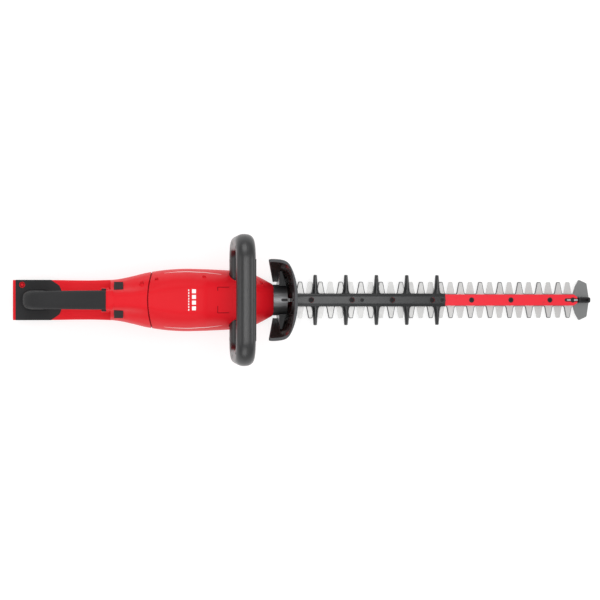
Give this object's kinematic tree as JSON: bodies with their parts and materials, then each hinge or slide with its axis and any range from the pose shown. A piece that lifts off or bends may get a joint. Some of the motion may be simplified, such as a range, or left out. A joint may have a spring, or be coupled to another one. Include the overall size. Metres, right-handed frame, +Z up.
{
  "type": "cordless hedge trimmer",
  "caption": "Cordless hedge trimmer: battery-foot D-handle, clamshell body, bail handle, smoked hand guard and two reciprocating toothed blades under a bar.",
  "frame": {"origin": "on the crank's vertical axis, in the plane of the gearcase cover's underside that the tool rests on", "axes": "+X forwards along the blades, +Y to the operator's left, +Z up"},
  "size_m": [0.933, 0.196, 0.208],
  "materials": {
    "red_shell": "moulded red, satin gloss",
    "soft_grip": "soft overmould, fine grain",
    "black_plastic": "moulded black, matt",
    "brass_contact": "bright contact blade",
    "wire_red": "insulated wire",
    "wire_black": "insulated wire",
    "dark_screw": "blackened steel",
    "bright_steel": "ground steel",
    "button_grey": "moulded grey, fine grain",
    "board_green": "board with conformal coat",
    "cast_grey": "die cast, shot blasted",
    "bronze": "sintered bronze",
    "lamination": "stacked laminations",
    "copper": "enamelled winding",
    "blade_steel": "ground blade steel",
    "red_bar": "red paint over an extruded bar",
    "slate_plastic": "moulded slate grey",
    "plate_steel": "phosphated plate",
    "smoke_panel": "smoke-tinted clear plastic",
    "handle_grey": "moulded charcoal grey"
  },
  "bodies": {
    "frame": {"rear_housing_left": "red_shell", "rear_housing_right": "red_shell", "motor_housing_left": "red_shell", "motor_housing_right": "red_shell", "grip_overmould": "soft_grip", "foot_overmould": "soft_grip", "battery_dock": "black_plastic", "terminal_block": "black_plastic", "battery_terminals": "brass_contact", "battery_leads": "wire_red", "housing_screws": "dark_screw", "trigger_pin": "bright_steel", "trigger_switch": "black_plastic", "switch_leads": "wire_black", "control_board": "board_green", "motor_leads": "wire_black", "gearcase": "cast_grey", "gearcase_cover": "cast_grey", "cover_screws": "dark_screw", "crank_bearing": "bright_steel", "crank_bush": "bronze", "stator_core": "lamination", "stator_windings": "copper", "motor_bracket": "cast_grey", "rotor_bearings": "bright_steel", "blade_bar": "red_bar", "bar_screws": "dark_screw", "blade_bolts": "dark_screw", "blade_spacers": "bright_steel", "blade_washers": "bright_steel", "blade_nuts": "dark_screw", "rail_guard": "slate_plastic", "rail_guard_screws": "dark_screw", "tip_plate": "plate_steel", "tip_bumper": "black_plastic", "guard_panel": "smoke_panel", "guard_frame": "button_grey", "guard_screws": "dark_screw", "bail_front_shell": "handle_grey", "bail_rear_shell": "handle_grey", "bail_screws": "dark_screw", "bail_switch": "black_plastic"},
    "crank": {"drive_gear": "bright_steel", "crank_shaft": "bright_steel"},
    "rotor": {"rotor_core": "lamination", "rotor_shaft": "bright_steel", "pinion": "bright_steel", "cooling_fan": "black_plastic"},
    "upper_cutter": {"upper_blade": "blade_steel"},
    "lower_cutter": {"lower_blade": "blade_steel"},
    "trigger_lever": {"trigger": "red_shell", "trigger_spring": "bright_steel"},
    "left_lock": {"lock_button_left": "button_grey", "lock_spring_left": "bright_steel"},
    "right_lock": {"lock_button_right": "button_grey", "lock_spring_right": "bright_steel"},
    "bail_bar": {"bail_switch_bar": "black_plastic", "bail_springs": "bright_steel"}
  },
  "joints": [
    {"name": "crank_turn", "type": "hinge", "parent": "frame", "child": "crank", "pos_m": [0, 0, 0.03], "axis": [0, 0, 1], "continuous": true},
    {"name": "rotor_turn", "type": "hinge", "parent": "frame", "child": "rotor", "pos_m": [-0.0376, 0, 0.06], "axis": [0, 0, 1], "continuous": true},
    {"name": "upper_blade_stroke", "type": "slide", "parent": "frame", "child": "upper_cutter", "axis": [1, 0, 0], "range_m": [-0.00825, 0.00825]},
    {"name": "lower_blade_stroke", "type": "slide", "parent": "frame", "child": "lower_cutter", "axis": [1, 0, 0], "range_m": [-0.00825, 0.00825]},
    {"name": "trigger_squeeze", "type": "hinge", "parent": "frame", "child": "trigger_lever", "pos_m": [-0.222, 0, 0.102], "axis": [0, 1, 0], "range_deg": [0, 7], "stiffness_Nm_per_rad": 1.5, "springref_deg": -8.59},
    {"name": "left_lock_push", "type": "slide", "parent": "frame", "child": "left_lock", "axis": [0, -0.6157, -0.788], "range_m": [0, 0.0035], "stiffness_N_per_m": 800, "springref_m": -0.002},
    {"name": "right_lock_push", "type": "slide", "parent": "frame", "child": "right_lock", "axis": [0, 0.6157, -0.788], "range_m": [0, 0.0035], "stiffness_N_per_m": 800, "springref_m": -0.002},
    {"name": "bail_bar_squeeze", "type": "slide", "parent": "frame", "child": "bail_bar", "axis": [-1, 0, 0], "range_m": [0, 0.004], "stiffness_N_per_m": 900, "springref_m": -0.002}
  ],
  "couplings": [
    {"joint": "rotor_turn", "follows": "crank_turn", "ratio": -4},
    {"joint": "lower_blade_stroke", "follows": "upper_blade_stroke", "ratio": -1}
  ]
}
